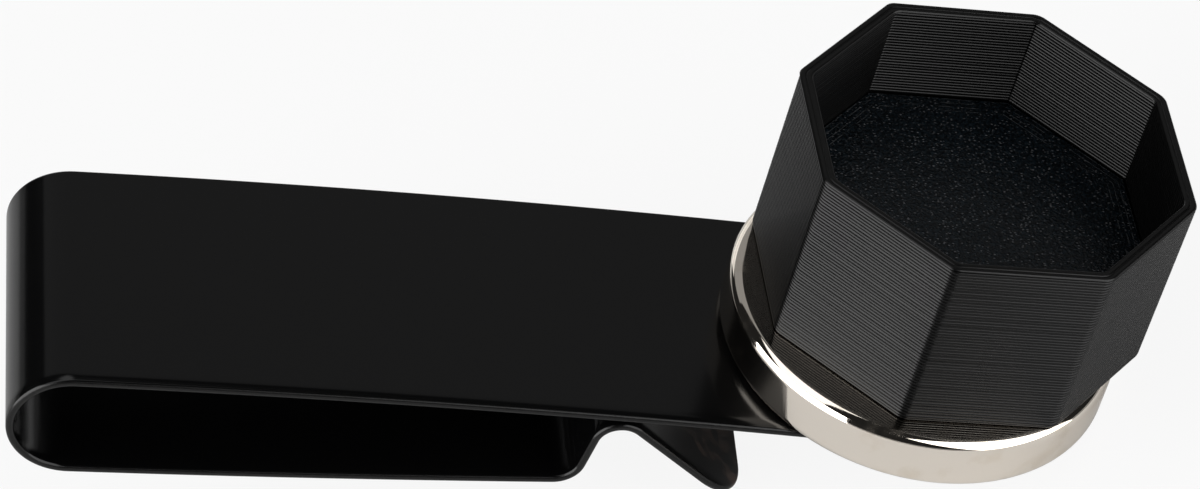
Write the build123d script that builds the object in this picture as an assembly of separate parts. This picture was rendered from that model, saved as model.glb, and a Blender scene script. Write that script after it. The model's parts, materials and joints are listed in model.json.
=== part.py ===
from build123d import *
import os
from math import asin, atan2, degrees, hypot

# Magnetic chalk holder for a billiard player's belt. A bent spring-steel clip carries a plated magnet
# disc, and a printed octagonal cup, with a magnet of its own under the floor, sits on that disc and
# lifts off it. Millimetres and degrees throughout.
#
# The pieces are drawn with the flat end of the clip level: x runs along the clip towards the cup,
# y across the strip from its centre line, z up from the strip's top face, and x = 0 is the disc's axis.
# At the end the whole holder is laid down as it lies on a table, on the clip's lip and the disc's edge.

# Clip: one strip of spring steel, bent to shape
STRIP_WIDTH = 20.0
STRIP_THICKNESS = 0.55
STRIP_CORNER_RADIUS = 4.0

# Front leaf, from its free end under the disc to the end of the big bend
LEAF_TAIL = 8.5
LEAF_FLAT = 6.0
LEAF_BOWED_LENGTH = 50.9
LEAF_BOW_RADIUS = 725.0
BEND_INNER_RADIUS = 3.75

# Back arm, from the big bend to the tip of the lip: slopes are measured from the disc's seat
ARM_START_SLOPE = 4.9
ARM_LENGTH = 32.2
ARM_BOW_RADIUS = 970.0
RISER_INNER_RADIUS = 1.65
RISER_SLOPE = 80.5
RISER_LENGTH = 2.5
CREST_INNER_RADIUS = 1.5
LIP_SLOPE = -36.7
LIP_LENGTH = 10.55

# Magnet disc, plated, and the film that bonds it to the strip
DISC_DIAMETER = 27.0
DISC_THICKNESS = 4.0
DISC_EDGE_RADIUS = 0.8
DISC_OFF_CENTRE = -0.5
BOND_DIAMETER = 16.0
BOND_THICKNESS = 0.1

# Cup, printed in layers, set down on the disc by hand a little off its axis
CUP_SIDES = 8
CUP_HEIGHT = 14.0
CUP_WALL = 0.86
CUP_OUTER_CORNER_RADIUS = 0.9
CUP_INNER_CORNER_RADIUS = 0.25
CUP_SHIFT = (1.54, 1.555)
CUP_TURN = 2.9
POCKET_FLATS = 24.0

# The cup's base from its bottom up: the pocket takes the rest of the cup's height
CUP_BASE_SKIN = 1.25
CUP_MAGNET_DIAMETER = 20.0
CUP_MAGNET_THICKNESS = 4.0
CUP_MAGNET_CLEARANCE = 0.1
FLOOR_PLATE_THICKNESS = 1.25
FLOOR_PLATE_CLEARANCE = 0.1


def straight(length):
    """A straight run of the strip."""
    return length, 0.0


def bend(inner_radius, turn):
    """A bend of the strip: a positive turn goes to the left."""
    return inner_radius + STRIP_THICKNESS / 2, turn


def walk_strip(start, heading, steps):
    """Follow the middle of the strip through its runs and bends.

    Returns the edges on its left side, those on its right side, and the point where it ends.
    """
    at = Vector(*start)
    left_edges = []
    right_edges = []
    for size, turn in steps:
        ahead = Vector(1, 0).rotate(Axis.Z, heading)
        to_left = Vector(0, STRIP_THICKNESS / 2).rotate(Axis.Z, heading)
        if turn == 0.0:
            end = at + ahead * size
            left_edges.append(Line(at + to_left, end + to_left))
            right_edges.append(Line(at - to_left, end - to_left))
        else:
            inward = to_left.normalized() * (1 if turn > 0 else -1)
            centre = at + inward * size
            spokes = [-inward.rotate(Axis.Z, turn * share) for share in (0.0, 0.5, 1.0)]
            end = centre + spokes[2] * size
            inner = [centre + spoke * (size - STRIP_THICKNESS / 2) for spoke in spokes]
            outer = [centre + spoke * (size + STRIP_THICKNESS / 2) for spoke in spokes]
            left_edges.append(ThreePointArc(*(inner if turn > 0 else outer)))
            right_edges.append(ThreePointArc(*(outer if turn > 0 else inner)))
        at = end
        heading += turn
    return left_edges, right_edges, at


def strip_solid(left_edges, right_edges):
    """The strip between its two sides, at its full width."""
    first_cap = Line(left_edges[0] @ 0, right_edges[0] @ 0)
    last_cap = Line(left_edges[-1] @ 1, right_edges[-1] @ 1)
    section = make_face([*left_edges, last_cap, *right_edges, first_cap])
    return extrude(Plane.XZ * section, amount=STRIP_WIDTH / 2, both=True)


def round_end(strip, end):
    """Round the two corners of the strip's free end, which lies at the given point of the section."""
    end_face = strip.faces().sort_by_distance(Vector(end.X, 0, end.Y))[0]
    corner_edges = end_face.edges().sort_by(SortBy.LENGTH)[:2]
    return fillet(corner_edges, STRIP_CORNER_RADIUS)


def octagon(flats, corner_radius):
    """A regular outline of the cup's shape, flat to flat, with rounded corners."""
    outline = RegularPolygon(flats / 2, CUP_SIDES, major_radius=False, rotation=180 / CUP_SIDES)
    return fillet(outline.vertices(), corner_radius)


def upright_disc(diameter, thickness):
    """A round disc that stands on z = 0."""
    return Cylinder(diameter / 2, thickness, align=(Align.CENTER, Align.CENTER, Align.MIN))


# Clip sections: the leaf is followed from its free end to the left and round the big bend
LEFTWARD = 180.0
leaf_start = Vector(LEAF_TAIL, -STRIP_THICKNESS / 2)
leaf_bow_turn = degrees(LEAF_BOWED_LENGTH / LEAF_BOW_RADIUS)
leaf_left, leaf_right, arm_start = walk_strip(
    leaf_start,
    LEFTWARD,
    [
        straight(LEAF_TAIL + LEAF_FLAT),
        bend(LEAF_BOW_RADIUS, leaf_bow_turn),
        bend(BEND_INNER_RADIUS, LEFTWARD + ARM_START_SLOPE - leaf_bow_turn),
    ],
)

# The back arm leaves the bend, rises steeply to the crest that holds the belt, and ends in the lip
arm_bow_turn = degrees(ARM_LENGTH / ARM_BOW_RADIUS)
arm_left, arm_right, lip_end = walk_strip(
    arm_start,
    ARM_START_SLOPE,
    [
        bend(ARM_BOW_RADIUS, arm_bow_turn),
        bend(RISER_INNER_RADIUS, RISER_SLOPE - ARM_START_SLOPE - arm_bow_turn),
        straight(RISER_LENGTH),
        bend(CREST_INNER_RADIUS, LIP_SLOPE - RISER_SLOPE),
        straight(LIP_LENGTH),
    ],
)
clip_front_leaf = round_end(strip_solid(leaf_left, leaf_right), leaf_start)
clip_back_arm = round_end(strip_solid(arm_left, arm_right), lip_end)

# Magnet disc on its bond film, on the free end of the leaf
disc_seat = Pos(0, DISC_OFF_CENTRE, 0)
disc_bond_film = disc_seat * upright_disc(BOND_DIAMETER, BOND_THICKNESS)
disc_blank = upright_disc(DISC_DIAMETER, DISC_THICKNESS)
disc_rims = disc_blank.edges().filter_by(GeomType.CIRCLE)
disc_magnet = disc_seat * Pos(0, 0, BOND_THICKNESS) * fillet(disc_rims, DISC_EDGE_RADIUS)

# Cup: a printed octagon, open at the top, with a stepped hollow for the floor plate and the magnet
cup_seat = disc_seat * Pos(*CUP_SHIFT, BOND_THICKNESS + DISC_THICKNESS) * Rot(0, 0, CUP_TURN)
plate_level = CUP_BASE_SKIN + CUP_MAGNET_THICKNESS
cup_outline = octagon(POCKET_FLATS + 2 * CUP_WALL, CUP_OUTER_CORNER_RADIUS)
hollow_outline = octagon(POCKET_FLATS, CUP_INNER_CORNER_RADIUS)
magnet_recess = upright_disc(CUP_MAGNET_DIAMETER + 2 * CUP_MAGNET_CLEARANCE, CUP_MAGNET_THICKNESS)
cup_blank = extrude(cup_outline, CUP_HEIGHT)
cup_hollow = Pos(0, 0, plate_level) * extrude(hollow_outline, CUP_HEIGHT - plate_level)
chalk_cup = cup_seat * (cup_blank - cup_hollow - Pos(0, 0, CUP_BASE_SKIN) * magnet_recess)
cup_magnet = cup_seat * Pos(0, 0, CUP_BASE_SKIN) * upright_disc(CUP_MAGNET_DIAMETER, CUP_MAGNET_THICKNESS)
plate_outline = octagon(POCKET_FLATS - 2 * FLOOR_PLATE_CLEARANCE, CUP_INNER_CORNER_RADIUS)
cup_floor_plate = cup_seat * Pos(0, 0, plate_level) * extrude(plate_outline, FLOOR_PLATE_THICKNESS)

pieces = {
    "clip_front_leaf": clip_front_leaf,
    "clip_back_arm": clip_back_arm,
    "disc_bond_film": disc_bond_film,
    "disc_magnet": disc_magnet,
    "chalk_cup": chalk_cup,
    "cup_magnet": cup_magnet,
    "cup_floor_plate": cup_floor_plate,
}

# The holder lies on the lower edge of its lip and on the rounded edge of its disc, right end down
lip_foot = arm_right[-1] @ 1
edge_centre = Vector(DISC_DIAMETER / 2 - DISC_EDGE_RADIUS, BOND_THICKNESS + DISC_EDGE_RADIUS)
foot_to_edge = edge_centre - lip_foot
foot_distance = hypot(foot_to_edge.X, foot_to_edge.Y)
rest_tilt = degrees(atan2(foot_to_edge.Y, foot_to_edge.X) - asin(DISC_EDGE_RADIUS / foot_distance))
tilted = {name: Rot(0, rest_tilt, 0) * piece for name, piece in pieces.items()}
around = Compound(list(tilted.values())).bounding_box()
origin = Vector(around.center().X, around.center().Y, around.min.Z)
lay_down = Pos(-origin) * Rot(0, rest_tilt, 0)

os.makedirs("parts", exist_ok=True)
for name, piece in pieces.items():
    export_step(lay_down * piece, f"parts/{name}.step")
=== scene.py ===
"""Looks of a magnetic chalk holder for a belt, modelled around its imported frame.

The pieces are modelled upright, in metres, with the flat end of the clip level and the disc's axis on z.
Each one is then laid down the way the holder lies on its table.
"""

import json
import logging
import math
import random
from collections.abc import Callable, Iterable
from dataclasses import dataclass, field
from enum import Enum
from typing import Any

import bmesh
import bpy
from mathutils import Matrix, Vector

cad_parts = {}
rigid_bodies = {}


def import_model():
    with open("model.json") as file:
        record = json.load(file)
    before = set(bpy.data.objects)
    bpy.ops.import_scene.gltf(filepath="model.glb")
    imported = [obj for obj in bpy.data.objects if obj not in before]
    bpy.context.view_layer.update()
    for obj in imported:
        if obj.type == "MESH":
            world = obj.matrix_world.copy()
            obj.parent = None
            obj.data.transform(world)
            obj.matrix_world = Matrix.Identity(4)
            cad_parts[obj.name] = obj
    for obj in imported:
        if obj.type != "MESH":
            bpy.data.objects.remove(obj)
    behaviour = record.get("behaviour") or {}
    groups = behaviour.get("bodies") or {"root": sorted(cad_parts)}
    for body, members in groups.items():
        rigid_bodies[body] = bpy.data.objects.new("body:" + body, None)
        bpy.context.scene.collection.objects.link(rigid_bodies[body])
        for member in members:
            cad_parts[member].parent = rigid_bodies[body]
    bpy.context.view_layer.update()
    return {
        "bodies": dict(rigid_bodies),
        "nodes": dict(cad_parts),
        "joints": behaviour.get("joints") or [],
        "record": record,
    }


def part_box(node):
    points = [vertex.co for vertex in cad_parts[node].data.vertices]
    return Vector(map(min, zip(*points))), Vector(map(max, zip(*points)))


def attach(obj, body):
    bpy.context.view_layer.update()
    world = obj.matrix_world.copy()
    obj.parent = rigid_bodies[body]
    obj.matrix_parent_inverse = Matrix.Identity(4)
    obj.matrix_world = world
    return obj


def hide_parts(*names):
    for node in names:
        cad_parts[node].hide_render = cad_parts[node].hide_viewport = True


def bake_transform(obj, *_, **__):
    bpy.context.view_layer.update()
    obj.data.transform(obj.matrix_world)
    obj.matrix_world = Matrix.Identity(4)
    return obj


MERGE_DISTANCE = 1e-7
LEVEL_TOLERANCE = 1e-6
BOND_THICKNESS = 1e-4
ORIGIN = (0.0, 0.0, 0.0)

log = logging.getLogger("chalk_holder")

Colour = tuple[float, float, float, float]
Range = tuple[float, float]


def mm(value: float) -> float:
    """Turn millimetres into metres."""
    return value / 1000.0


def grey(level: float) -> Colour:
    """A neutral colour of the given level."""
    return (level, level, level, 1.0)


class Facing(Enum):
    """Which way the beads of a wall face."""

    OUTWARDS = 1
    INWARDS = -1


class Workpiece:
    """One mesh on the bench, shaped in edit mode and finished in object mode."""

    def __init__(self, name: str, add: Callable[..., Any], **settings: Any) -> None:
        """Add a primitive to a cleared bench and open it, all selected, in edit mode.

        Args:
            name: The piece's name.
            add: The operator that adds the primitive.
            **settings: The operator's settings.
        """
        if bpy.context.mode != "OBJECT":
            bpy.ops.object.mode_set(mode="OBJECT")
        bpy.ops.object.select_all(action="DESELECT")
        add(**settings)
        self.obj: bpy.types.Object = bpy.context.object
        self.obj.name = name
        self.obj.data.name = name
        bpy.ops.object.transform_apply(location=True, rotation=True, scale=True)
        bpy.ops.object.mode_set(mode="EDIT")
        bpy.ops.mesh.select_all(action="SELECT")

    def pick(self, test: Callable[[bmesh.types.BMEdge], bool]) -> None:
        """Select the edges that pass a test, and nothing else.

        Args:
            test: Takes an edge and says whether it is wanted.
        """
        bpy.ops.mesh.select_mode(type="EDGE")
        bpy.ops.mesh.select_all(action="DESELECT")
        mesh = bmesh.from_edit_mesh(self.obj.data)
        for edge in mesh.edges:
            if test(edge):
                edge.select_set(True)
        bmesh.update_edit_mesh(self.obj.data)

    def pick_open_rim(self, height: float) -> None:
        """Select the open edges that lie at a height."""
        self.pick(
            lambda edge: edge.is_boundary
            and all(abs(v.co.z - height) < MERGE_DISTANCE for v in edge.verts)
        )

    def extrude(self, step: Iterable[float]) -> None:
        """Extrude the selection by a step."""
        bpy.ops.mesh.extrude_region_move(TRANSFORM_OT_translate={"value": tuple(step)})

    def draw_rings(self, start: "Ring", rings: Iterable["Ring"]) -> None:
        """Extrude the selected ring through a row of wider or narrower ones.

        Args:
            start: The ring that is selected.
            rings: The rings to draw, in order.
        """
        for ring in rings:
            self.extrude((0.0, 0.0, ring.height - start.height))
            factor = ring.apothem / start.apothem
            bpy.ops.transform.resize(value=(factor, factor, 1.0), center_override=ORIGIN)
            start = ring

    def round_off(self, radius: float, segments: int) -> None:
        """Bevel the selected edges round."""
        bpy.ops.mesh.bevel(offset=radius, segments=segments, affect="EDGES", clamp_overlap=False)

    def close(self, smooth_below: float) -> None:
        """Merge doubles, point the faces outwards, and leave edit mode with smooth shading.

        Args:
            smooth_below: The angle between faces, in degrees, up to which their shading is smooth.
        """
        bpy.ops.mesh.select_all(action="SELECT")
        bpy.ops.mesh.remove_doubles(threshold=MERGE_DISTANCE)
        bpy.ops.mesh.normals_make_consistent(inside=False)
        bpy.ops.object.mode_set(mode="OBJECT")
        bpy.ops.object.shade_smooth_by_angle(angle=math.radians(smooth_below))

    def flatten(self) -> None:
        """Let the large faces of a closed piece set the shading along its rounded edges."""
        modifier = self.obj.modifiers.new("Flatten", "WEIGHTED_NORMAL")
        modifier.keep_sharp = True
        bpy.ops.object.modifier_apply(modifier=modifier.name)

    def modify(self, kind: str, **settings: Any) -> None:
        """Add a modifier in object mode and apply it.

        Args:
            kind: The modifier's type.
            **settings: The modifier's settings.
        """
        bpy.ops.object.mode_set(mode="OBJECT")
        modifier = self.obj.modifiers.new(kind.title(), kind)
        for name, value in settings.items():
            setattr(modifier, name, value)
        bpy.ops.object.modifier_apply(modifier=modifier.name)
        bpy.ops.object.mode_set(mode="EDIT")

    def take_in(self, other: "Workpiece") -> None:
        """Join another piece into this one.

        Args:
            other: The other piece, which is then gone.
        """
        bpy.ops.object.mode_set(mode="OBJECT")
        bpy.ops.object.select_all(action="DESELECT")
        other.obj.select_set(True)
        self.obj.select_set(True)
        bpy.context.view_layer.objects.active = self.obj
        bpy.ops.object.join()
        bpy.ops.object.mode_set(mode="EDIT")

    def lay(self, place: Matrix) -> None:
        """Move the finished mesh to its place, with the object left at the origin."""
        self.obj.matrix_world = place
        bpy.ops.object.transform_apply(location=True, rotation=True, scale=True)

    def dress(self, material: bpy.types.Material, slot: str) -> None:
        """Give the piece its finish.

        Args:
            material: The piece's material.
            slot: The record's slot for it; not used.
        """
        self.obj.data.materials.clear()
        self.obj.data.materials.append(material)
        log.info("%s: %d faces", self.obj.name, len(self.obj.data.polygons))


@dataclass(frozen=True)
class Ring:
    """One ring of an eight-sided wall."""

    apothem: float
    height: float


@dataclass(frozen=True)
class RestPose:
    """How the upright model lies on its table."""

    turn: Matrix

    @classmethod
    def of(cls, frame: dict[str, Any]) -> "RestPose":
        """Read the pose from the frame.


        Returns:
            The pose in which the cup lifts off along its own axis.
        """
        lift = next(joint for joint in frame["joints"] if joint["name"] == "cup_lift")
        up = Vector(lift["axis"]).normalized()
        across = Vector((0.0, 1.0, 0.0))
        along = across.cross(up)
        return cls(Matrix((along, across, up)).transposed())

    @property
    def up(self) -> Vector:
        """The direction in which the cup lifts off."""
        return self.turn.col[2]

    def lean(self) -> float:
        """The angle by which the holder leans over, about the y axis."""
        return math.atan2(self.up.x, self.up.z)

    def place(self, origin: Vector, twist: float = 0.0) -> Matrix:
        """Where an upright piece goes.

        Args:
            origin: The laid-down place of the piece's own origin.
            twist: The piece's own turn about its upright axis, in degrees.

        Returns:
            The matrix that lays the piece down.
        """
        twisted = Matrix.Rotation(math.radians(twist), 4, "Z")
        return Matrix.Translation(origin) @ self.turn.to_4x4() @ twisted

    @staticmethod
    def middle(node: str) -> Vector:
        """The middle of a CAD node's box."""
        lowest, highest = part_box(node)
        return (lowest + highest) / 2


class Socket:
    """A node's output that takes part in arithmetic, each step of which is a Math node."""

    def __init__(self, graph: "NodeGraph", output: bpy.types.NodeSocket) -> None:
        """Wrap an output.

        Args:
            graph: The graph that the output's node is in.
            output: The output.
        """
        self.graph = graph
        self.output = output

    def sibling(self, name: str) -> "Socket":
        """Another output of the same node."""
        return Socket(self.graph, self.output.node.outputs[name])

    def __add__(self, other: "Socket | float") -> "Socket":
        """Add."""
        return self.graph.math("ADD", self, other)

    __radd__ = __add__

    def __sub__(self, other: "Socket | float") -> "Socket":
        """Subtract."""
        return self.graph.math("SUBTRACT", self, other)

    def __rsub__(self, other: "Socket | float") -> "Socket":
        """Subtract from something."""
        return self.graph.math("SUBTRACT", other, self)

    def __mul__(self, other: "Socket | float") -> "Socket":
        """Multiply."""
        return self.graph.math("MULTIPLY", self, other)

    __rmul__ = __mul__

    def __abs__(self) -> "Socket":
        """Drop the sign."""
        return self.graph.math("ABSOLUTE", self)


class NodeGraph:
    """The node tree of a material or of the world."""

    def __init__(self, owner: bpy.types.Material | bpy.types.World) -> None:
        """Empty the owner's tree.

        Args:
            owner: The material or world whose tree is built.
        """
        owner.use_nodes = True
        self.tree = owner.node_tree
        self.tree.nodes.clear()

    def add(
        self,
        kind: str,
        inputs: dict[str | int, Any],
        out: str | int = 0,
        **settings: Any,
    ) -> Socket | None:
        """Add a node.

        Args:
            kind: The node's type, without its ShaderNode prefix.
            inputs: A value or a Socket for each of its inputs that is set.
            out: Which of its outputs is wanted.
            **settings: Its settings, which are set first.

        Returns:
            The wanted output, or None from a node that has no outputs.
        """
        node = self.tree.nodes.new("ShaderNode" + kind)
        for name, value in settings.items():
            setattr(node, name, value)
        for key, value in inputs.items():
            if isinstance(value, Socket):
                self.tree.links.new(value.output, node.inputs[key])
            else:
                node.inputs[key].default_value = value
        return Socket(self, node.outputs[out]) if node.outputs else None

    def math(self, operation: str, *terms: Socket | float) -> Socket:
        """Add a Math node over its terms."""
        return self.add("Math", dict(enumerate(terms)), operation=operation)

    def coordinates(self) -> Socket:
        """Where a point is on the object."""
        return self.add("TexCoord", {}, "Object")

    def mapped(self, vector: Socket, **inputs: Any) -> Socket:
        """Turn, move or stretch a pattern's coordinates."""
        return self.add("Mapping", {"Vector": vector, **inputs})

    def noise(self, vector: Socket, scale: float, detail: float = 2.0) -> Socket:
        """Soft noise between 0 and 1."""
        return self.add("TexNoise", {"Vector": vector, "Scale": scale, "Detail": detail}, "Fac")

    def step(self, value: Socket, low: float, high: float) -> Socket:
        """Rise smoothly from 0 at one value to 1 at another."""
        return self.add(
            "MapRange",
            {"Value": value, "From Min": low, "From Max": high},
            interpolation_type="SMOOTHSTEP",
        )

    def blend(self, share: Socket, first: Socket | Colour, second: Socket | Colour) -> Socket:
        """Mix two colours."""
        return self.add("Mix", {0: share, 6: first, 7: second}, 2, data_type="RGBA")

    def bump(self, height: Socket, depth: float, below: Socket | None = None) -> Socket:
        """Turn a height between 0 and 1 into a normal.

        Args:
            height: The height over the surface.
            depth: How deep the relief is, in metres.
            below: The normal of a coarser relief under this one.

        Returns:
            The normal.
        """
        inputs = {"Height": height, "Distance": depth, "Strength": 1.0}
        if below:
            inputs["Normal"] = below
        return self.add("Bump", inputs)

    def surface(self, **inputs: Any) -> None:
        """Finish a material with the one shader that takes everything.

        Args:
            **inputs: The shader's inputs, with _ for the spaces in their names.
        """
        named = {name.replace("_", " "): value for name, value in inputs.items()}
        self.add("OutputMaterial", {"Surface": self.add("BsdfPrincipled", named)})


@dataclass(frozen=True)
class ClipCoating:
    """Satin black coating over brushed spring steel, thinner on the sheared edges."""

    slot: str = "clip_coating"
    coat: Colour = (0.0015, 0.0015, 0.0016, 1.0)
    specular: float = 0.34
    roughness: float = 0.16
    brush_stretch: tuple[float, float, float] = (45.0, 5200.0, 45.0)
    brush_depth: float = mm(0.0006)
    brush_dulling: float = 0.08
    smear: Colour = (0.050, 0.032, 0.024, 1.0)
    smear_scale: float = 300.0
    smear_limits: Range = (0.48, 0.62)
    smear_dulling: float = 0.06
    rubbed_reach: Range = (mm(6.8), mm(5.0))
    worn_edge: Colour = (0.0045, 0.0043, 0.0041, 1.0)
    edge_band: Range = (mm(0.14), mm(0.05))
    edge_dulling: float = 0.12
    grit_scale: float = 7000.0
    grit_limits: Range = (0.35, 0.65)
    grit_depth: float = mm(0.012)
    shoulder: float = mm(1.4)
    shoulder_depth: float = mm(0.12)

    def material(self, middle: float, half_width: float, rubbed: Vector) -> bpy.types.Material:
        """Make the coating.

        Args:
            middle: The y of the strip's centre line.
            half_width: Half of the strip's width.
            rubbed: Where the strip rubs on clothes and is stained, over its whole width.

        Returns:
            The material.
        """
        made = bpy.data.materials.new("clip_coating")
        graph = NodeGraph(made)
        spot = graph.coordinates()
        brush = graph.noise(graph.mapped(spot, Scale=self.brush_stretch), 1.0, detail=3.0)

        section = graph.mapped(spot, Location=tuple(-rubbed), Scale=(1.0, 0.0, 1.0))
        away = graph.add("VectorMath", {0: section}, "Value", operation="LENGTH")
        worn = graph.step(away, *self.rubbed_reach)
        cloud = graph.noise(spot, self.smear_scale, detail=4.0)
        smear = graph.step(cloud, *self.smear_limits) * worn
        coated = graph.blend(smear, self.coat, self.smear)

        across = graph.add("SeparateXYZ", {"Vector": spot}, "Y")
        band_start, band_end = self.edge_band
        edge = graph.step(abs(across - middle), half_width - band_start, half_width - band_end)
        grit = graph.noise(spot, self.grit_scale, detail=4.0)
        rough_edge = edge * graph.step(grit, *self.grit_limits)

        rolled = graph.step(middle - across, half_width - self.shoulder, half_width)
        shoulder = graph.bump(1.0 - rolled * rolled * rolled, self.shoulder_depth)
        brushed = graph.bump(brush, self.brush_depth, shoulder)
        dulling = (brush - 0.5) * self.brush_dulling + smear * self.smear_dulling
        graph.surface(
            Base_Color=graph.blend(rough_edge, coated, self.worn_edge),
            Specular_IOR_Level=self.specular,
            Roughness=self.roughness + dulling + edge * self.edge_dulling,
            Normal=graph.bump(grit * edge, self.grit_depth, brushed),
        )
        return made


@dataclass(frozen=True)
class NickelPlating:
    """Bright nickel with a warm cast and faint stains."""

    slot: str = "disc_nickel"
    bright: Colour = (0.99, 0.91, 0.81, 1.0)
    stain: Colour = (0.86, 0.76, 0.63, 1.0)
    roughness: float = 0.055
    stain_scale: float = 420.0
    stain_limits: Range = (0.54, 0.72)
    stain_share: float = 0.55
    stain_dulling: float = 0.09
    ripple_scale: float = 260.0
    ripple_depth: float = mm(0.004)

    def material(self, name: str) -> bpy.types.Material:
        """Make the plating.

        Args:
            name: The material's name.

        Returns:
            The material.
        """
        made = bpy.data.materials.new(name)
        graph = NodeGraph(made)
        spot = graph.coordinates()
        stain = graph.step(graph.noise(spot, self.stain_scale, detail=5.0), *self.stain_limits)
        ripple = graph.noise(spot, self.ripple_scale, detail=1.0)
        graph.surface(
            Base_Color=graph.blend(stain * self.stain_share, self.bright, self.stain),
            Metallic=1.0,
            Roughness=self.roughness + stain * self.stain_dulling,
            Normal=graph.bump(ripple, self.ripple_depth),
        )
        return made


@dataclass(frozen=True)
class PrintedPlastic:
    """Black plastic in layers: each bead is drawn along the wall and has a skin on its upper half."""

    slot: str = "cup_print"
    fresh: Colour = grey(0.0003)
    dull: Colour = grey(0.0008)
    dull_limits: Range = (0.42, 0.68)
    specular: float = 0.07
    roughness: float = 0.13
    drawn_stretch: tuple[float, float, float] = (140.0, 140.0, 3600.0)
    drawn_dulling: float = 0.06
    drawn_share: float = 0.6
    pitting_scale: float = 5200.0
    pitting_share: float = 0.4
    relief_depth: float = mm(0.003)
    skin: float = 0.54
    skin_limits: Range = (0.35, 0.65)
    skin_roughness: float = 0.277
    pitch_share: float = 0.9999

    def material(self, foot: Vector, lean: float, layer: float) -> bpy.types.Material:
        """Make the plastic.

        Args:
            foot: The middle of the cup's bottom.
            lean: The angle by which the layers lean over, about the y axis.
            layer: The height of one layer.

        Returns:
            The material.
        """
        made = bpy.data.materials.new("cup_print")
        graph = NodeGraph(made)
        spot = graph.coordinates()
        upright = graph.mapped(graph.mapped(spot, Location=tuple(-foot)), Rotation=(0.0, -lean, 0.0))
        height = graph.add("SeparateXYZ", {"Vector": upright}, "Z")
        # With a pitch of exactly one layer the crest of the rim would count as the start of a next bead
        up_bead = graph.math("FRACT", height * (self.pitch_share / layer))
        drawn = graph.noise(graph.mapped(upright, Scale=self.drawn_stretch), 1.0, detail=3.0)
        pitting = graph.noise(spot, self.pitting_scale, detail=3.0)
        relief = pitting * self.pitting_share + drawn * self.drawn_share
        graph.surface(
            Base_Color=graph.blend(graph.step(drawn, *self.dull_limits), self.fresh, self.dull),
            Specular_IOR_Level=self.specular,
            Roughness=self.roughness + drawn * self.drawn_dulling,
            Coat_Weight=self.skin * graph.step(up_bead, *self.skin_limits),
            Coat_Roughness=self.skin_roughness,
            Normal=graph.bump(relief, self.relief_depth),
        )
        return made


@dataclass(frozen=True)
class PebbledPlastic:
    """Blue-black plastic with the fine pebbles and outline beads of a sheet-printed plate, with painted
    shade and highlights in the pebbles, painted glints, and painted highlights along the outline beads.
    """

    slot: str = "floor_print"
    # Painted shade darkens the pebbles' hollows and a painted highlight lightens their crowns, over the
    # plastic's own blue-black colour.
    shaded_hollow: Colour = (0.0002, 0.0009, 0.0016, 1.0)
    lit_crown: Colour = (0.0036, 0.0070, 0.0100, 1.0)
    specular: float = 0.36
    roughness: float = 0.20
    pebble_scale: float = 5600.0
    pebble_limits: Range = (0.46, 0.62)
    pebble_depth: float = mm(0.08)
    pebble_dulling: float = 0.08
    # Painted glints: sparse light flecks that stand in for light sparkling off the grains.
    painted_glint: Colour = (0.075, 0.076, 0.080, 1.0)
    glint_scale: float = 5400.0
    glint_stretch: tuple[float, float, float] = (0.6, 1.0, 1.0)
    glint_size: Range = (0.36, 0.14)
    glint_chance: Range = (0.15, 1.0)
    # Painted highlight along the crests of the printed outline beads by the walls.
    painted_outline_highlight: Colour = (0.034, 0.036, 0.038, 1.0)
    outline_pitch: float = mm(0.40)
    outline_beads: int = 3
    outline_fade: float = 0.2
    outline_crest: Range = (0.36, 0.5)
    break_scale: float = 864.0
    break_limits: Range = (0.40, 0.60)

    def material(self, middle: Vector, lean: float, twist: float, flats: float) -> bpy.types.Material:
        """Make the plastic.

        Args:
            middle: The middle of the plate.
            lean: The angle by which the plate leans over, about the y axis.
            twist: The plate's own turn about its upright axis, in degrees.
            flats: The distance between its opposite sides.

        Returns:
            The material.
        """
        made = bpy.data.materials.new("floor_print")
        graph = NodeGraph(made)
        spot = graph.coordinates()
        upright = graph.mapped(
            graph.mapped(spot, Location=tuple(-middle)),
            Rotation=(0.0, -lean, -math.radians(twist)),
        )
        pebble = graph.noise(spot, self.pebble_scale)
        # The plastic's own blue-black colour, with painted shade in the pebbles' hollows and a painted
        # highlight on their crowns, from the same noise as the bump.
        body = graph.blend(graph.step(pebble, *self.pebble_limits), self.shaded_hollow, self.lit_crown)

        # Painted glints, scattered over the plate in stretched cells.
        stretched = graph.mapped(upright, Scale=self.glint_stretch)
        cell = graph.add("TexVoronoi", {"Vector": stretched, "Scale": self.glint_scale}, "Distance")
        chance = graph.add("SeparateColor", {"Color": cell.sibling("Color")}, "Red")
        painted_glint = graph.step(cell, *self.glint_size) * graph.step(chance, *self.glint_chance)

        x = graph.add("SeparateXYZ", {"Vector": upright}, "X")
        across = abs(x)
        along = abs(x.sibling("Y"))
        diagonal = (across + along) * math.sqrt(0.5)
        reach = graph.math("MAXIMUM", graph.math("MAXIMUM", across, along), diagonal)
        inset = flats / 2 - reach
        pitch = self.outline_pitch
        bead = graph.math("PINGPONG", inset + pitch / 2, pitch / 2)
        band_end = pitch * (self.outline_beads + self.outline_fade)
        in_band = graph.step(inset, band_end, pitch * self.outline_beads)
        broken = graph.step(graph.noise(spot, self.break_scale, detail=3.0), *self.break_limits)
        crest_start, crest_end = self.outline_crest
        # Painted highlight on the crest of each outline bead, broken in places.
        outline_highlight_mask = graph.step(bead, pitch * crest_start, pitch * crest_end) * in_band * broken

        graph.surface(
            Base_Color=graph.blend(painted_glint, graph.blend(outline_highlight_mask, body, self.painted_outline_highlight), self.painted_glint),
            Specular_IOR_Level=self.specular,
            Roughness=self.roughness + pebble * self.pebble_dulling,
            Normal=graph.bump(pebble, self.pebble_depth),
        )
        return made


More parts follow.
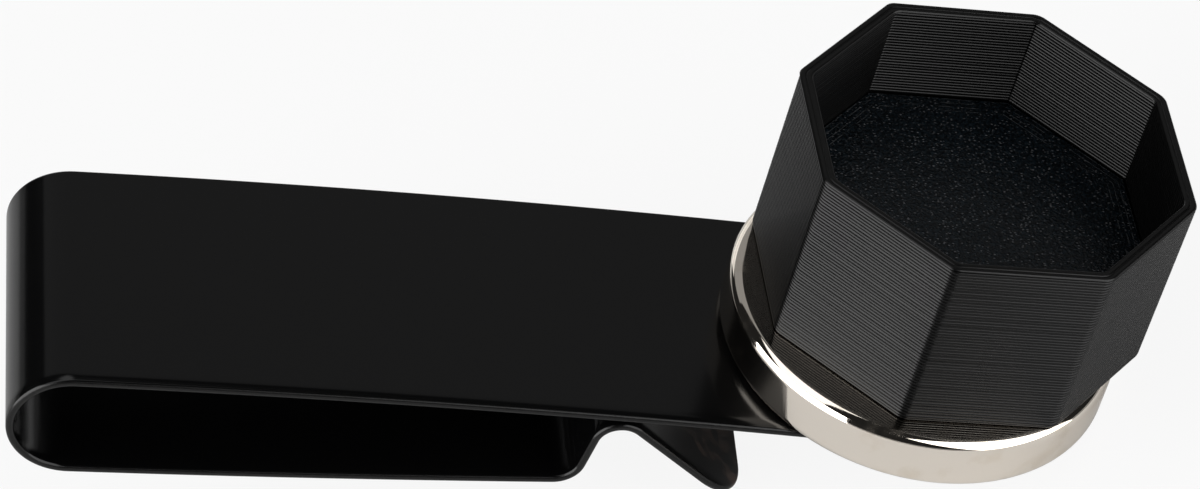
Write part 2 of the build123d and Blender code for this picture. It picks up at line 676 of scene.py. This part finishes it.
@dataclass(frozen=True)
class BondFilm:
    """A pressed film of cloudy adhesive."""

    slot: str = "bond_film"
    clear: Colour = (0.50, 0.49, 0.45, 1.0)
    cloudy: Colour = (0.66, 0.65, 0.61, 1.0)
    cloud_scale: float = 900.0
    roughness: float = 0.35
    cloud_dulling: float = 0.3

    def material(self) -> bpy.types.Material:
        """Make the film.

        Returns:
            The material.
        """
        made = bpy.data.materials.new("bond_film")
        graph = NodeGraph(made)
        cloud = graph.noise(graph.coordinates(), self.cloud_scale, detail=4.0)
        graph.surface(
            Base_Color=graph.blend(cloud, self.clear, self.cloudy),
            Roughness=self.roughness + cloud * self.cloud_dulling,
        )
        return made


@dataclass
class StripPen:
    """Draws the middle line of the strip and drags the strip's section along with it."""

    at: Vector
    heading: float
    thickness: float

    def direction(self, turned: float = 0.0) -> Vector:
        """The way ahead, turned to the left by some degrees."""
        angle = math.radians(self.heading + turned)
        return Vector((math.cos(angle), 0.0, math.sin(angle)))

    def section(self, name: str, width: float) -> Workpiece:
        """Set the strip's section down across the line.

        Args:
            name: The name of the piece that is drawn.
            width: The width of the strip.

        Returns:
            The piece, with its section selected.
        """
        piece = Workpiece(
            name,
            bpy.ops.mesh.primitive_plane_add,
            size=1.0,
            rotation=(0.0, math.radians(90.0), 0.0),
        )
        bpy.ops.transform.resize(value=(1.0, width, self.thickness), center_override=ORIGIN)
        bpy.ops.object.mode_set(mode="OBJECT")
        piece.lay(Matrix.Translation(self.at) @ Matrix.Rotation(math.radians(-self.heading), 4, "Y"))
        bpy.ops.object.mode_set(mode="EDIT")
        return piece

    def run(self, piece: Workpiece, length: float) -> None:
        """Draw a straight run.

        Args:
            piece: The piece that is drawn.
            length: The length of the run.
        """
        step = self.direction() * length
        piece.extrude(step)
        self.at = self.at + step

    def bend(self, inner_radius: float, turn: float, steps: int) -> None:
        """Draw a bend of the piece that is being edited.

        Args:
            inner_radius: The radius on the inside of the bend.
            turn: The angle in degrees: a positive turn goes to the left.
            steps: How many flats the bend is made of.
        """
        side = math.copysign(90.0, turn)
        centre = self.at + self.direction(side) * (inner_radius + self.thickness / 2)
        bpy.ops.mesh.spin(steps=steps, angle=math.radians(turn), center=centre, axis=(0.0, 1.0, 0.0))
        arm = Matrix.Rotation(math.radians(-turn), 3, "Y") @ (self.at - centre)
        self.at = centre + arm
        self.heading += turn


@dataclass
class BeltClip:
    """The bent strip: a front plate, the big bend, and the arm behind the belt."""

    rest: RestPose
    seat: Vector
    width: float = mm(20.0)
    thickness: float = mm(0.55)
    corner_radius: float = mm(4.0)
    corner_segments: int = 12
    edge_radius: float = mm(0.24)
    edge_segments: int = 5
    leaf_tail: float = mm(8.5)
    leaf_flat: float = mm(6.0)
    leaf_bowed: float = mm(50.9)
    leaf_bow_radius: float = mm(725.0)
    leaf_steps: int = 14
    bend_radius: float = mm(3.75)
    bend_steps: int = 56
    arm_slope: float = 4.9
    arm_length: float = mm(32.2)
    arm_bow_radius: float = mm(970.0)
    arm_steps: int = 10
    riser_radius: float = mm(1.65)
    riser_slope: float = 80.5
    riser_length: float = mm(2.5)
    riser_steps: int = 22
    crest_radius: float = mm(1.5)
    crest_steps: int = 34
    lip_slope: float = -36.7
    lip_length: float = mm(10.55)
    run_in: float = mm(2.0)
    smooth_below: float = 40.0
    finish: ClipCoating = ClipCoating()

    def build(self) -> None:
        """Model the strip in three pieces: the leaf and the arm go with their own bodies, and the bend
        stays where it is laid.
        """
        pen = StripPen(Vector((self.leaf_tail, 0.0, -self.thickness / 2)), 180.0, self.thickness)
        leaf_turn = math.degrees(self.leaf_bowed / self.leaf_bow_radius)
        arm_turn = math.degrees(self.arm_length / self.arm_bow_radius)
        leaf_run_in = math.degrees(self.run_in / self.leaf_bow_radius)
        arm_run_in = math.degrees(self.run_in / self.arm_bow_radius)
        arm_lowest, arm_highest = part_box("clip_back_arm")
        lip_foot = Vector((arm_highest.x, self.seat.y, arm_lowest.z))
        coating = self.finish.material(self.seat.y, self.width / 2, lip_foot)

        leaf_end = pen.at.copy()
        leaf = pen.section("leaf_strip", self.width)
        pen.run(leaf, self.leaf_tail + self.leaf_flat)
        pen.bend(self.leaf_bow_radius, leaf_turn - leaf_run_in, self.leaf_steps)
        self.trim(leaf, free_end=leaf_end, cut_ends=[pen.at])
        self.hand_over(leaf, coating)
        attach(leaf.obj, "leaf")

        bend_start = pen.at.copy()
        bend = pen.section("bend_strip", self.width)
        pen.bend(self.leaf_bow_radius, leaf_run_in, steps=1)
        top = pen.at.copy()
        pen.bend(self.bend_radius, 180.0 + self.arm_slope - leaf_turn, self.bend_steps)
        bottom = pen.at.copy()
        pen.bend(self.arm_bow_radius, arm_run_in, steps=1)
        self.trim(bend, free_end=None, cut_ends=[bend_start, pen.at])
        self.hand_over(bend, coating)
        place = self.rest.place(self.seat)
        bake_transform(bend.obj, "leaf", "arm", start=place @ top, end=place @ bottom)

        arm_start = pen.at.copy()
        arm = pen.section("arm_strip", self.width)
        pen.bend(self.arm_bow_radius, arm_turn - arm_run_in, self.arm_steps)
        riser_turn = self.riser_slope - self.arm_slope - arm_turn
        pen.bend(self.riser_radius, riser_turn, self.riser_steps)
        pen.run(arm, self.riser_length)
        pen.bend(self.crest_radius, self.lip_slope - self.riser_slope, self.crest_steps)
        pen.run(arm, self.lip_length)
        self.trim(arm, free_end=pen.at, cut_ends=[arm_start])
        self.hand_over(arm, coating)
        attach(arm.obj, "arm")

        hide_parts("clip_front_leaf")
        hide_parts("clip_front_leaf")
        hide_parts("clip_back_arm")

    def trim(self, piece: Workpiece, free_end: Vector | None, cut_ends: list[Vector]) -> None:
        """Round the corners of a free end and round off the long edges.

        Args:
            piece: The piece, drawn to its full length.
            free_end: Where the strip ends, if it ends in this piece.
            cut_ends: Where it goes on in another piece, and stays square.
        """

        def lies_at(edge: bmesh.types.BMEdge, end: Vector) -> bool:
            """Whether an edge lies across the strip at one of its ends."""
            return all((v.co.xz - end.xz).length < self.thickness for v in edge.verts)

        bpy.ops.mesh.select_all(action="SELECT")
        bpy.ops.mesh.normals_make_consistent(inside=False)
        if free_end:
            piece.pick(lambda edge: lies_at(edge, free_end) and edge.calc_length() < self.width / 2)
            piece.round_off(self.corner_radius, self.corner_segments)
        piece.pick(
            lambda edge: not any(lies_at(edge, cut) for cut in cut_ends)
            and edge.calc_face_angle() > math.radians(self.smooth_below)
        )
        piece.round_off(self.edge_radius, self.edge_segments)

    def hand_over(self, piece: Workpiece, coating: bpy.types.Material) -> None:
        """Close a piece of the strip, lay it down and coat it.

        Args:
            piece: The piece, trimmed.
            coating: The strip's material.
        """
        piece.close(self.smooth_below)
        piece.flatten()
        piece.lay(self.rest.place(self.seat))
        piece.dress(coating, self.finish.slot)


@dataclass
class MagnetDisc:
    """The plated disc on the free end of the clip."""

    rest: RestPose
    diameter: float = mm(27.0)
    thickness: float = mm(4.0)
    edge_radius: float = mm(0.8)
    edge_segments: int = 10
    facets: int = 288
    smooth_below: float = 30.0
    finish: NickelPlating = NickelPlating()

    def build(self) -> None:
        """Turn the disc with its two rounded rims."""
        disc = Workpiece(
            "plated_disc",
            bpy.ops.mesh.primitive_cylinder_add,
            vertices=self.facets,
            radius=self.diameter / 2,
            depth=self.thickness,
        )
        disc.pick(lambda edge: edge.calc_face_angle() > math.radians(self.smooth_below))
        disc.round_off(self.edge_radius, self.edge_segments)
        disc.close(self.smooth_below)
        disc.lay(self.rest.place(self.rest.middle("disc_magnet")))
        disc.dress(self.finish.material("disc_nickel"), self.finish.slot)
        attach(disc.obj, "leaf")
        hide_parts("disc_magnet")


@dataclass
class PrintedCup:
    """The octagonal cup, with each of its printed layers as a bead round the wall."""

    rest: RestPose
    sides: int = 8
    outer_flats: float = mm(25.72)
    pocket_flats: float = mm(24.0)
    height: float = mm(14.0)
    floor_height: float = mm(6.5)
    plate_seat: float = mm(5.25)
    magnet_seat: float = mm(1.25)
    magnet_room: float = mm(20.2)
    twist: float = 2.9
    layer: float = mm(0.25)
    layer_slack: float = mm(0.005)
    shoulder_slope: float = 50.0
    shoulder_steps: int = 4
    outer_corner: float = mm(1.05)
    inner_corner: float = mm(0.25)
    corner_segments: int = 5
    rim_crown: float = mm(0.10)
    rim_groove: float = mm(0.05)
    # The rim's round, in crowns inwards and in layers up from its shoulder, and the way into its groove
    rim_round: tuple[Range, ...] = ((0.0, -0.10), (0.3, 0.22), (1.0, 0.44))
    rim_dip: Range = (0.6, 0.3)
    unevenness: float = mm(0.006)
    foot_gap: float = mm(0.22)
    foot_height: float = mm(0.22)
    seam_corners: tuple[float, ...] = (112.5, 157.5)
    seam_inset: float = mm(0.105)
    seam_reach: float = mm(0.9)
    seam_size: float = mm(0.07)
    merge_gap: float = mm(0.002)
    smooth_below: float = 50.0
    rng: random.Random = field(default_factory=lambda: random.Random(8))
    finish: PrintedPlastic = PrintedPlastic()

    @property
    def flat_share(self) -> float:
        """How far out the flats lie, as a share of how far out sharp corners would lie."""
        return math.cos(math.pi / self.sides)

    def bead(self) -> list[Vector]:
        """Draw the round face of one bead.

        Returns:
            Points from its lower groove to its upper one: depth below the crest, and height.
        """
        radius = self.layer / 2 / math.sin(math.radians(self.shoulder_slope))
        steps = range(-self.shoulder_steps, self.shoulder_steps + 1)
        slopes = [math.radians(self.shoulder_slope * step / self.shoulder_steps) for step in steps]
        middle = self.layer / 2
        return [Vector((radius - radius * math.cos(a), middle + radius * math.sin(a))) for a in slopes]

    @property
    def bead_swell(self) -> float:
        """How far a bead stands out from the groove beside it."""
        return self.bead()[0].x

    def wall(
        self,
        name: str,
        facing: Facing,
        flats: float,
        corner: float,
        bottom: float,
        top: float,
    ) -> Workpiece:
        """Print one side of the wall: one layer is modelled and stacked.

        Args:
            name: The name of the piece.
            facing: Which way the beads face.
            flats: The distance between the crests of opposite beads.
            corner: The radius of the corners.
            bottom: The height at which the lowest layer starts.
            top: The height at which the highest layer ends.

        Returns:
            The stacked layers, in edit mode.
        """
        valley = flats / 2 - facing.value * self.bead_swell
        piece = Workpiece(
            name,
            bpy.ops.mesh.primitive_circle_add,
            vertices=self.sides,
            radius=valley / self.flat_share,
            rotation=(0.0, 0.0, math.pi / self.sides),
            location=(0.0, 0.0, bottom),
        )
        bpy.ops.mesh.bevel(
            offset=corner * math.tan(math.pi / self.sides),
            segments=self.corner_segments,
            affect="VERTICES",
            clamp_overlap=False,
        )
        rings = [Ring(flats / 2 - facing.value * spot.x, bottom + spot.y) for spot in self.bead()]
        piece.draw_rings(rings[0], rings[1:])
        piece.modify(
            "ARRAY",
            count=round((top - bottom) / self.layer),
            use_relative_offset=False,
            use_constant_offset=True,
            constant_offset_displace=(0.0, 0.0, self.layer),
            use_merge_vertices=True,
            merge_threshold=self.merge_gap,
        )
        return piece

    def build(self) -> None:
        """Print the cup from its bottom to its rim and down into its base."""
        rim_start = self.height - self.layer
        cup = self.wall(
            "printed_cup",
            Facing.OUTWARDS,
            flats=self.outer_flats,
            corner=self.outer_corner,
            bottom=0.0,
            top=rim_start,
        )
        inside = self.wall(
            "inner_wall",
            Facing.INWARDS,
            flats=self.pocket_flats,
            corner=self.inner_corner,
            bottom=self.floor_height,
            top=rim_start,
        )
        cup.take_in(inside)
        self.close_rim(cup, rim_start)
        self.close_base(cup)
        self.settle(cup)
        cup.close(self.smooth_below)
        base = self.rest.middle("chalk_cup") - self.rest.up * (self.height / 2)
        cup.lay(self.rest.place(base, self.twist))
        cup.dress(self.finish.material(base, self.rest.lean(), self.layer), self.finish.slot)
        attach(cup.obj, "cup")
        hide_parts("chalk_cup")

    def close_rim(self, cup: Workpiece, start: float) -> None:
        """Round the rim over in two beads, side by side, and join it to the inner wall.

        Args:
            cup: The cup, with both walls open at the top.
            start: The height of that opening.
        """
        outer = self.outer_flats / 2
        inner = self.pocket_flats / 2
        middle = (outer + inner) / 2
        crest = self.height
        between_walls = middle / self.flat_share
        shoulder = (start + crest) / 2
        outer_half = [
            Ring(outer - self.rim_crown * inwards, shoulder + self.layer * upwards)
            for inwards, upwards in self.rim_round
        ]
        aside, down = self.rim_dip
        outer_half += [
            Ring((outer + middle) / 2, crest),
            Ring(middle + self.rim_crown * aside, crest - self.rim_groove * down),
        ]
        inner_half = [Ring(2.0 * middle - ring.apothem, ring.height) for ring in reversed(outer_half)]
        groove = Ring(middle, crest - self.rim_groove)
        cup.pick(
            lambda edge: edge.is_boundary
            and all(abs(v.co.z - start) < LEVEL_TOLERANCE for v in edge.verts)
            and all(v.co.xy.length > between_walls for v in edge.verts)
        )
        cup.draw_rings(Ring(outer - self.bead_swell, start), [*outer_half, groove, *inner_half])
        above_floor = self.floor_height + self.layer
        cup.pick(lambda edge: edge.is_boundary and all(v.co.z > above_floor for v in edge.verts))
        bpy.ops.mesh.bridge_edge_loops()

    def close_base(self, cup: Workpiece) -> None:
        """Close the bottom, and sink the seats of the floor plate and of the magnet under it.

        Args:
            cup: The cup, open at the bottom and inside at the floor.
        """
        cup.pick_open_rim(0.0)
        bpy.ops.mesh.edge_face_add()
        cup.pick_open_rim(self.floor_height)
        valley = self.pocket_flats / 2 + self.bead_swell
        cup.draw_rings(
            Ring(valley, self.floor_height),
            [
                Ring(valley, self.plate_seat),
                Ring(self.magnet_room / 2, self.plate_seat),
                Ring(self.magnet_room / 2, self.magnet_seat),
            ],
        )
        bpy.ops.mesh.edge_face_add()

    def settle(self, cup: Workpiece) -> None:
        """Make the layers a little uneven, draw the foot in, and leave a blob where the rim's beads end.

        Args:
            cup: The cup, closed all round.
        """
        mesh = bmesh.from_edit_mesh(cup.obj.data)
        count = round(self.height / self.layer) + 1
        shifts = [self.rng.uniform(-self.unevenness, 0.0) for _ in range(count)]
        seam_spot = Vector((self.outer_flats / 2 / self.flat_share - self.seam_inset, 0.0))
        seams = [Matrix.Rotation(math.radians(corner), 2) @ seam_spot for corner in self.seam_corners]
        for vertex in mesh.verts:
            reach = vertex.co.xy.length
            if reach < self.magnet_room / 2 + self.layer:
                continue
            out = vertex.co.xy / reach
            if vertex.co.z < self.foot_height:
                vertex.co.xy -= out * self.foot_gap * (1.0 - vertex.co.z / self.foot_height) ** 2
            index = min(int((vertex.co.z + self.layer_slack) / self.layer), count - 1)
            outside = reach * self.flat_share > self.outer_flats / 2 - self.layer
            vertex.co.xy += out * (shifts[index] if outside else -shifts[index])
            if vertex.co.z > self.height - self.layer:
                nearest = min((vertex.co.xy - seam).length for seam in seams)
                vertex.co.xy += out * self.seam_size * max(0.0, 1.0 - nearest / self.seam_reach)
        bmesh.update_edit_mesh(cup.obj.data)


@dataclass
class CupFloor:
    """The pebbled plate at the bottom of the pocket."""

    rest: RestPose
    cup: PrintedCup
    flats: float = mm(23.8)
    thickness: float = mm(1.25)
    cells: int = 230
    pebble_size: float = mm(0.26)
    pebble_height: float = mm(0.045)
    smooth_below: float = 50.0
    finish: PebbledPlastic = PebbledPlastic()

    def build(self) -> None:
        """Cut the plate to its eight sides and raise its pebbles."""
        plate = Workpiece(
            "pebbled_floor",
            bpy.ops.mesh.primitive_grid_add,
            x_subdivisions=self.cells,
            y_subdivisions=self.cells,
            size=self.flats,
            location=(0.0, 0.0, self.thickness - self.pebble_height / 2),
        )
        for side in range(1, self.cup.sides, 2):
            angle = 2.0 * math.pi * side / self.cup.sides
            outward = Vector((math.cos(angle), math.sin(angle), 0.0))
            bpy.ops.mesh.select_all(action="SELECT")
            bpy.ops.mesh.bisect(plane_co=outward * self.flats / 2, plane_no=outward, clear_outer=True)
        pebbles = bpy.data.textures.new("pebbles", "VORONOI")
        pebbles.noise_scale = self.pebble_size
        plate.modify(
            "DISPLACE",
            texture=pebbles,
            texture_coords="LOCAL",
            direction="Z",
            strength=-self.pebble_height,
            mid_level=0.5,
        )
        plate.pick(lambda edge: edge.is_boundary)
        plate.extrude((0.0, 0.0, -self.thickness / 2))
        bpy.ops.transform.resize(value=(1.0, 1.0, 0.0), center_override=ORIGIN)
        bpy.ops.mesh.edge_face_add()
        plate.close(self.smooth_below)
        level = self.rest.middle("cup_floor_plate") - self.rest.up * (self.thickness / 2)
        plate.lay(self.rest.place(level, self.cup.twist))
        material = self.finish.material(level, self.rest.lean(), self.cup.twist, self.flats)
        plate.dress(material, self.finish.slot)
        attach(plate.obj, "cup")
        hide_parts("cup_floor_plate")


def dress_hidden_nodes(nodes: dict[str, bpy.types.Object]) -> None:
    """Give the CAD nodes that stay, inside the holder, their finishes.

    Args:
        nodes: The CAD nodes by name.
    """
    film = BondFilm()
    plating = NickelPlating(slot="magnet_nickel")
    for name, material in (
        ("disc_bond_film", film.material()),
        ("cup_magnet", plating.material("magnet_nickel")),
    ):
        nodes[name].data.materials.clear()
        nodes[name].data.materials.append(material)
        log.info("%s: dressed", name)


@dataclass(frozen=True)
class Direction:
    """A direction from the object: azimuth 0 is in front of it, 90 to its right."""

    azimuth: float
    elevation: float

    def vector(self) -> Vector:
        """Work the direction out.

        Returns:
            A vector of length 1.
        """
        around = math.radians(self.azimuth)
        above = math.radians(self.elevation)
        level = math.cos(above)
        return Vector((math.sin(around) * level, -math.cos(around) * level, math.sin(above)))


@dataclass(frozen=True)
class PhotoCamera:
    """The camera at the photograph's viewing angle."""

    aim: Vector = field(default_factory=lambda: Vector((mm(-0.02), mm(7.04), mm(10.01))))
    towards: Direction = Direction(2.24, 44.623)
    distance: float = mm(363.2)
    roll: float = -9.397
    sensor: float = 36.0
    lens: float = 159.2
    clip_start: float = mm(10.0)

    def place(self) -> None:
        """Set the camera up and make it the scene's own."""
        data = bpy.data.cameras.new("photo_camera")
        data.sensor_width = self.sensor
        data.lens = self.lens
        data.clip_start = self.clip_start
        camera = bpy.data.objects.new("photo_camera", data)
        bpy.context.scene.collection.objects.link(camera)
        camera.matrix_world = (
            Matrix.Translation(self.aim + self.towards.vector() * self.distance)
            @ Matrix.Rotation(math.radians(self.towards.azimuth), 4, "Z")
            @ Matrix.Rotation(math.radians(90.0 - self.towards.elevation), 4, "X")
            @ Matrix.Rotation(math.radians(self.roll), 4, "Z")
        )
        bpy.context.scene.camera = camera


@dataclass(frozen=True)
class Softbox:
    """A rectangular light that faces the object, or slides along its own width to one side of it."""

    name: str
    towards: Direction
    distance: float
    width: float
    height: float
    brightness: float
    slide: float = 0.0

    def hang(self, aim: Vector) -> None:
        """Hang the softbox up.

        Args:
            aim: The point that it faces.
        """
        data = bpy.data.lights.new(self.name, "AREA")
        data.shape = "RECTANGLE"
        data.size = self.width
        data.size_y = self.height
        data.energy = self.brightness * math.pi * self.width * self.height
        lamp = bpy.data.objects.new(self.name, data)
        bpy.context.scene.collection.objects.link(lamp)
        away = self.towards.vector()
        turn = away.to_track_quat("Z", "Y").to_matrix()
        spot = aim + away * self.distance + turn.col[0] * self.slide
        lamp.matrix_world = Matrix.Translation(spot) @ turn.to_4x4()


@dataclass(frozen=True)
class Studio:
    """A pale sweep under a dim ceiling, with softboxes round it."""

    softboxes: tuple[Softbox, ...] = (
        Softbox("left_softbox", Direction(-65.0, 26.0), 0.60, 0.72, 0.62, 3.9),
        Softbox("right_softbox", Direction(62.0, 27.0), 0.60, 0.66, 0.62, 2.5),
        Softbox("back_panel", Direction(167.0, 40.0), 0.80, 1.20, 0.45, 0.23),
        Softbox("back_card", Direction(-164.0, 12.0), 0.80, 0.50, 0.38, 0.70),
        Softbox("top_softbox", Direction(-140.0, 83.0), 0.70, 0.74, 0.36, 1.2, slide=0.105),
    )
    aim: Vector = field(default_factory=lambda: Vector((0.0, 0.0, mm(10.0))))
    ceiling: float = 0.012
    sweep_radius: float = 0.95
    sweep_curl: tuple[Range, ...] = ((1.03, 0.012), (1.09, 0.045), (1.12, 0.10), (1.13, 0.16))
    sweep_facets: int = 128
    smooth_below: float = 60.0
    pale: float = 0.58
    backlight: float = 0.90
    mirrored: float = 0.04

    def build(self) -> None:
        """Light the set and lay the sweep."""
        scene = bpy.context.scene
        scene.view_settings.view_transform = "Standard"
        for softbox in self.softboxes:
            softbox.hang(self.aim)
        scene.world = bpy.data.worlds.new("dim_ceiling")
        graph = NodeGraph(scene.world)
        glow = graph.add("Background", {"Color": grey(1.0), "Strength": self.ceiling})
        graph.add("OutputWorld", {"Surface": glow})
        self.lay_sweep()

    def lay_sweep(self) -> None:
        """Lay the sweep under the holder and curl its edge up."""
        sweep = Workpiece(
            "pale_sweep",
            bpy.ops.mesh.primitive_circle_add,
            vertices=self.sweep_facets,
            radius=self.sweep_radius,
            fill_type="NGON",
        )
        sweep.pick_open_rim(0.0)
        rings = [Ring(self.sweep_radius * reach, height) for reach, height in self.sweep_curl]
        sweep.draw_rings(Ring(self.sweep_radius, 0.0), rings)
        bpy.ops.object.mode_set(mode="OBJECT")
        bpy.ops.object.shade_smooth_by_angle(angle=math.radians(self.smooth_below))
        sweep.obj.data.materials.append(self.paper())

    def paper(self) -> bpy.types.Material:
        """Make pale paper that looks white to the eye and keeps the shadow on it.

        Returns:
            The material.
        """
        made = bpy.data.materials.new("pale_paper")
        graph = NodeGraph(made)
        camera = graph.add("LightPath", {}, "Is Camera Ray")
        seen = (camera + camera.sibling("Is Transmission Ray")) * self.backlight
        mirrored = camera.sibling("Is Glossy Ray") * self.mirrored
        lit = graph.add("BsdfDiffuse", {"Color": grey(self.pale)})
        glow = graph.add("Emission", {"Color": grey(1.0), "Strength": 1.0})
        mixed = graph.add("MixShader", {0: seen + mirrored, 1: lit, 2: glow})
        graph.add("OutputMaterial", {"Surface": mixed})
        return made


def main() -> None:
    """Load the frame, set up the camera and the studio, and model and dress the holder."""
    logging.basicConfig(level=logging.INFO, format="%(name)s %(message)s")
    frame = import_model()
    rest = RestPose.of(frame)
    PhotoCamera().place()
    Studio().build()

    seat = rest.middle("disc_bond_film") - rest.up * (BOND_THICKNESS / 2)
    seat.y = rest.middle("clip_front_leaf").y
    BeltClip(rest, seat).build()
    MagnetDisc(rest).build()
    cup = PrintedCup(rest)
    cup.build()
    CupFloor(rest, cup).build()
    dress_hidden_nodes(frame["nodes"])


if __name__ == "__main__":
    main()
